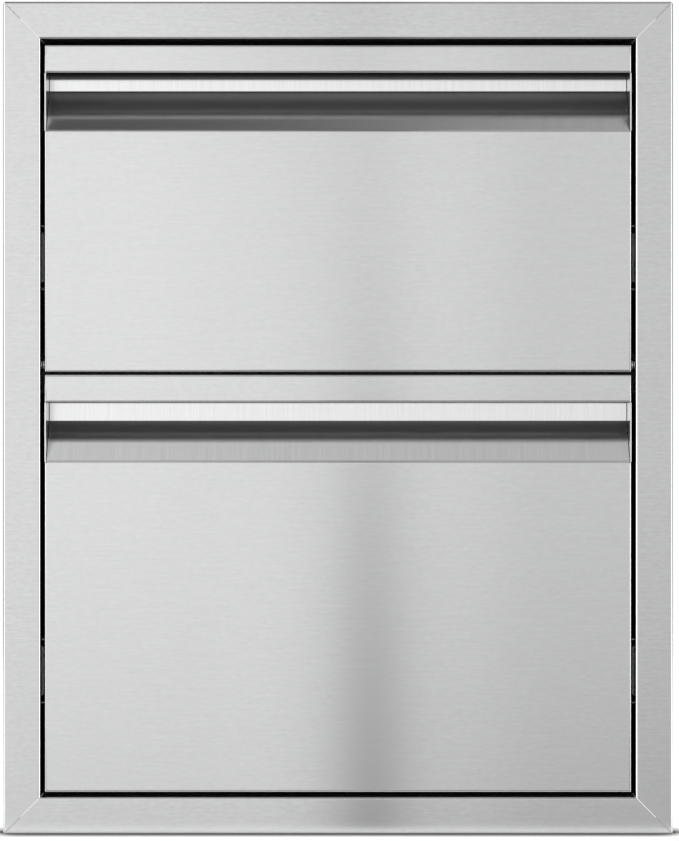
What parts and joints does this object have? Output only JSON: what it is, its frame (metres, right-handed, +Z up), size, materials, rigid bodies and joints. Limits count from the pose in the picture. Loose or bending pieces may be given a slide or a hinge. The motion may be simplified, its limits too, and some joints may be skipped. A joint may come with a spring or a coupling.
{
  "type": "outdoor kitchen drawer unit",
  "caption": "Built-in stainless drawer unit for an outdoor kitchen island: mitred face frame, steel cabinet, a shallow and a deep drawer with recessed pulls on full-extension ball slides.",
  "frame": {"origin": "middle of the bottom rail's seating hem, on the plane where the face frame rests against the island's face", "axes": "+X to the right seen from the front, +Y backwards into the island, +Z up; the drawers pull out along -Y"},
  "size_m": [0.457, 0.5096, 0.568],
  "materials": {
    "brushed_steel": "number 4 brushed stainless, grain along each piece",
    "satin_steel": "mill-satin stainless sheet",
    "zinc_steel": "bright zinc-plated rolled steel",
    "ball_steel": "thin pressed strip with polished balls",
    "screw_steel": "plain bright stainless",
    "rubber": "black rubber"
  },
  "bodies": {
    "cabinet": {"frame_bottom_rail": "brushed_steel", "frame_top_rail": "brushed_steel", "frame_left_stile": "brushed_steel", "frame_right_stile": "brushed_steel", "frame_left_screw": "screw_steel", "frame_right_screw": "screw_steel", "cabinet_left_side": "satin_steel", "cabinet_right_side": "satin_steel", "cabinet_floor": "satin_steel", "cabinet_roof": "satin_steel", "cabinet_back": "satin_steel", "middle_rail": "satin_steel", "upper_left_slide_outer": "zinc_steel", "upper_right_slide_outer": "zinc_steel", "lower_left_slide_outer": "zinc_steel", "lower_right_slide_outer": "zinc_steel", "upper_left_slide_front_screw": "screw_steel", "upper_left_slide_rear_screw": "screw_steel", "upper_right_slide_front_screw": "screw_steel", "upper_right_slide_rear_screw": "screw_steel", "lower_left_slide_front_screw": "screw_steel", "lower_left_slide_rear_screw": "screw_steel", "lower_right_slide_front_screw": "screw_steel", "lower_right_slide_rear_screw": "screw_steel"},
    "upper_drawer": {"upper_front_skin": "brushed_steel", "upper_front_liner": "satin_steel", "upper_left_pull_end": "brushed_steel", "upper_right_pull_end": "brushed_steel", "upper_tub": "satin_steel", "upper_tub_back": "satin_steel", "upper_left_front_screw": "screw_steel", "upper_right_front_screw": "screw_steel", "upper_left_bumper": "rubber", "upper_right_bumper": "rubber", "upper_left_slide_inner": "zinc_steel", "upper_right_slide_inner": "zinc_steel"},
    "upper_middle_members": {"upper_left_slide_middle": "zinc_steel", "upper_right_slide_middle": "zinc_steel"},
    "upper_outer_cages": {"upper_left_outer_ball_cage": "ball_steel", "upper_right_outer_ball_cage": "ball_steel"},
    "upper_inner_cages": {"upper_left_inner_ball_cage": "ball_steel", "upper_right_inner_ball_cage": "ball_steel"},
    "lower_drawer": {"lower_front_skin": "brushed_steel", "lower_front_liner": "satin_steel", "lower_left_pull_end": "brushed_steel", "lower_right_pull_end": "brushed_steel", "lower_tub": "satin_steel", "lower_tub_back": "satin_steel", "lower_left_front_screw": "screw_steel", "lower_right_front_screw": "screw_steel", "lower_left_bumper": "rubber", "lower_right_bumper": "rubber", "lower_left_slide_inner": "zinc_steel", "lower_right_slide_inner": "zinc_steel"},
    "lower_middle_members": {"lower_left_slide_middle": "zinc_steel", "lower_right_slide_middle": "zinc_steel"},
    "lower_outer_cages": {"lower_left_outer_ball_cage": "ball_steel", "lower_right_outer_ball_cage": "ball_steel"},
    "lower_inner_cages": {"lower_left_inner_ball_cage": "ball_steel", "lower_right_inner_ball_cage": "ball_steel"}
  },
  "joints": [
    {"name": "upper_drawer_slide", "type": "slide", "parent": "cabinet", "child": "upper_drawer", "axis": [0, -1, 0], "range_m": [0, 0.45]},
    {"name": "upper_middle_member_slide", "type": "slide", "parent": "cabinet", "child": "upper_middle_members", "axis": [0, -1, 0], "range_m": [0, 0.225]},
    {"name": "upper_outer_cage_roll", "type": "slide", "parent": "cabinet", "child": "upper_outer_cages", "axis": [0, -1, 0], "range_m": [0, 0.1125]},
    {"name": "upper_inner_cage_roll", "type": "slide", "parent": "cabinet", "child": "upper_inner_cages", "axis": [0, -1, 0], "range_m": [0, 0.3375]},
    {"name": "lower_drawer_slide", "type": "slide", "parent": "cabinet", "child": "lower_drawer", "axis": [0, -1, 0], "range_m": [0, 0.45]},
    {"name": "lower_middle_member_slide", "type": "slide", "parent": "cabinet", "child": "lower_middle_members", "axis": [0, -1, 0], "range_m": [0, 0.225]},
    {"name": "lower_outer_cage_roll", "type": "slide", "parent": "cabinet", "child": "lower_outer_cages", "axis": [0, -1, 0], "range_m": [0, 0.1125]},
    {"name": "lower_inner_cage_roll", "type": "slide", "parent": "cabinet", "child": "lower_inner_cages", "axis": [0, -1, 0], "range_m": [0, 0.3375]}
  ],
  "couplings": [
    {"joint": "upper_middle_member_slide", "follows": "upper_drawer_slide", "ratio": 0.5},
    {"joint": "upper_outer_cage_roll", "follows": "upper_drawer_slide", "ratio": 0.25},
    {"joint": "upper_inner_cage_roll", "follows": "upper_drawer_slide", "ratio": 0.75},
    {"joint": "lower_middle_member_slide", "follows": "lower_drawer_slide", "ratio": 0.5},
    {"joint": "lower_outer_cage_roll", "follows": "lower_drawer_slide", "ratio": 0.25},
    {"joint": "lower_inner_cage_roll", "follows": "lower_drawer_slide", "ratio": 0.75}
  ]
}
